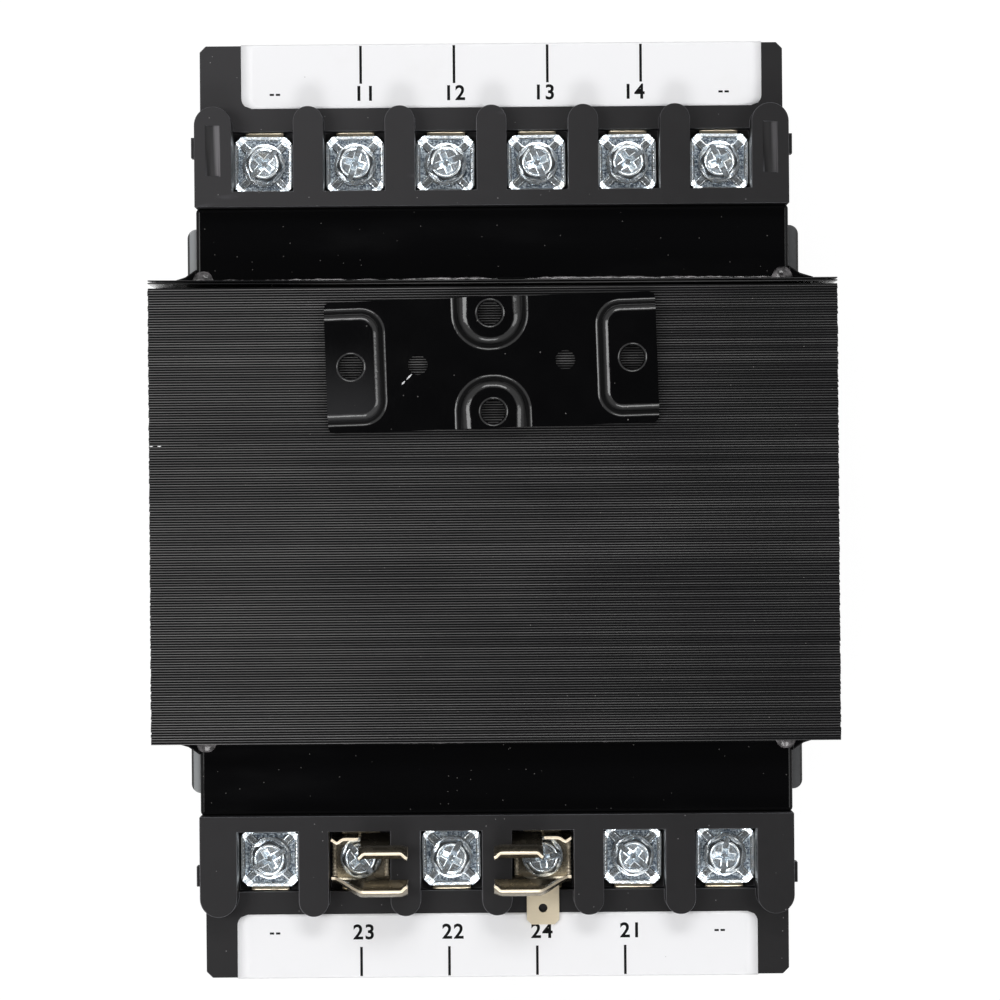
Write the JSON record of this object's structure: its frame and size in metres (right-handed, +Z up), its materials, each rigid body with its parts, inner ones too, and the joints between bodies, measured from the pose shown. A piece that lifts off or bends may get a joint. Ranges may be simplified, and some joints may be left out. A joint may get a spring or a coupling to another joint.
{
  "type": "control transformer",
  "caption": "Encapsulated control transformer: laminated steel core on slotted feet, moulded terminal blocks front and back, fuse clips and a fuse-block plate on top.",
  "frame": {"origin": "on the mounting surface, under the middle of the part", "axes": "+Z up from the mounting surface, +Y towards the primary terminals, +X to the right when facing the part with the primary side away"},
  "size_m": [0.1352, 0.1824, 0.1216],
  "materials": {
    "laminations": "black varnished steel laminations, satin with fine edge lines",
    "weld": "varnished weld bead, semi gloss",
    "foot_paint": "gloss black enamel on pressed steel",
    "plate_paint": "gloss black enamel with worn scratches",
    "resin": "glossy black potting resin with specks and dust",
    "housing_plastic": "satin black moulded thermoset",
    "label_film": "white printed label film, satin",
    "zinc": "bright zinc plated steel",
    "tinned_brass": "pale tinned brass strip, drawn grain"
  },
  "bodies": {
    "root": {"core_e_stack": "laminations", "core_i_stack": "laminations", "core_end_laminations": "laminations", "left_weld_bead": "weld", "right_weld_bead": "weld", "left_foot": "foot_paint", "right_foot": "foot_paint", "fuse_block_plate": "plate_paint", "coil_body": "resin", "corner_resin": "resin", "primary_terminal_housing": "housing_plastic", "secondary_terminal_housing": "housing_plastic", "primary_apron": "housing_plastic", "secondary_apron": "housing_plastic", "primary_label": "label_film", "secondary_label": "label_film", "primary_terminal_strips": "tinned_brass", "secondary_terminal_strips": "tinned_brass", "left_fuse_clip": "tinned_brass", "right_fuse_clip": "tinned_brass", "quick_connect_tab": "tinned_brass", "primary_screw_1": "zinc", "secondary_screw_1": "zinc", "primary_clamp_1": "zinc", "primary_screw_2": "zinc", "secondary_screw_2": "zinc", "primary_clamp_2": "zinc", "primary_screw_3": "zinc", "secondary_screw_3": "zinc", "primary_clamp_3": "zinc", "primary_screw_4": "zinc", "secondary_screw_4": "zinc", "primary_clamp_4": "zinc", "primary_screw_5": "zinc", "secondary_screw_5": "zinc", "primary_clamp_5": "zinc", "primary_screw_6": "zinc", "secondary_screw_6": "zinc", "primary_clamp_6": "zinc", "secondary_clamp_1": "zinc", "secondary_clamp_3": "zinc", "secondary_clamp_5": "zinc", "secondary_clamp_6": "zinc"}
  },
  "joints": []
}
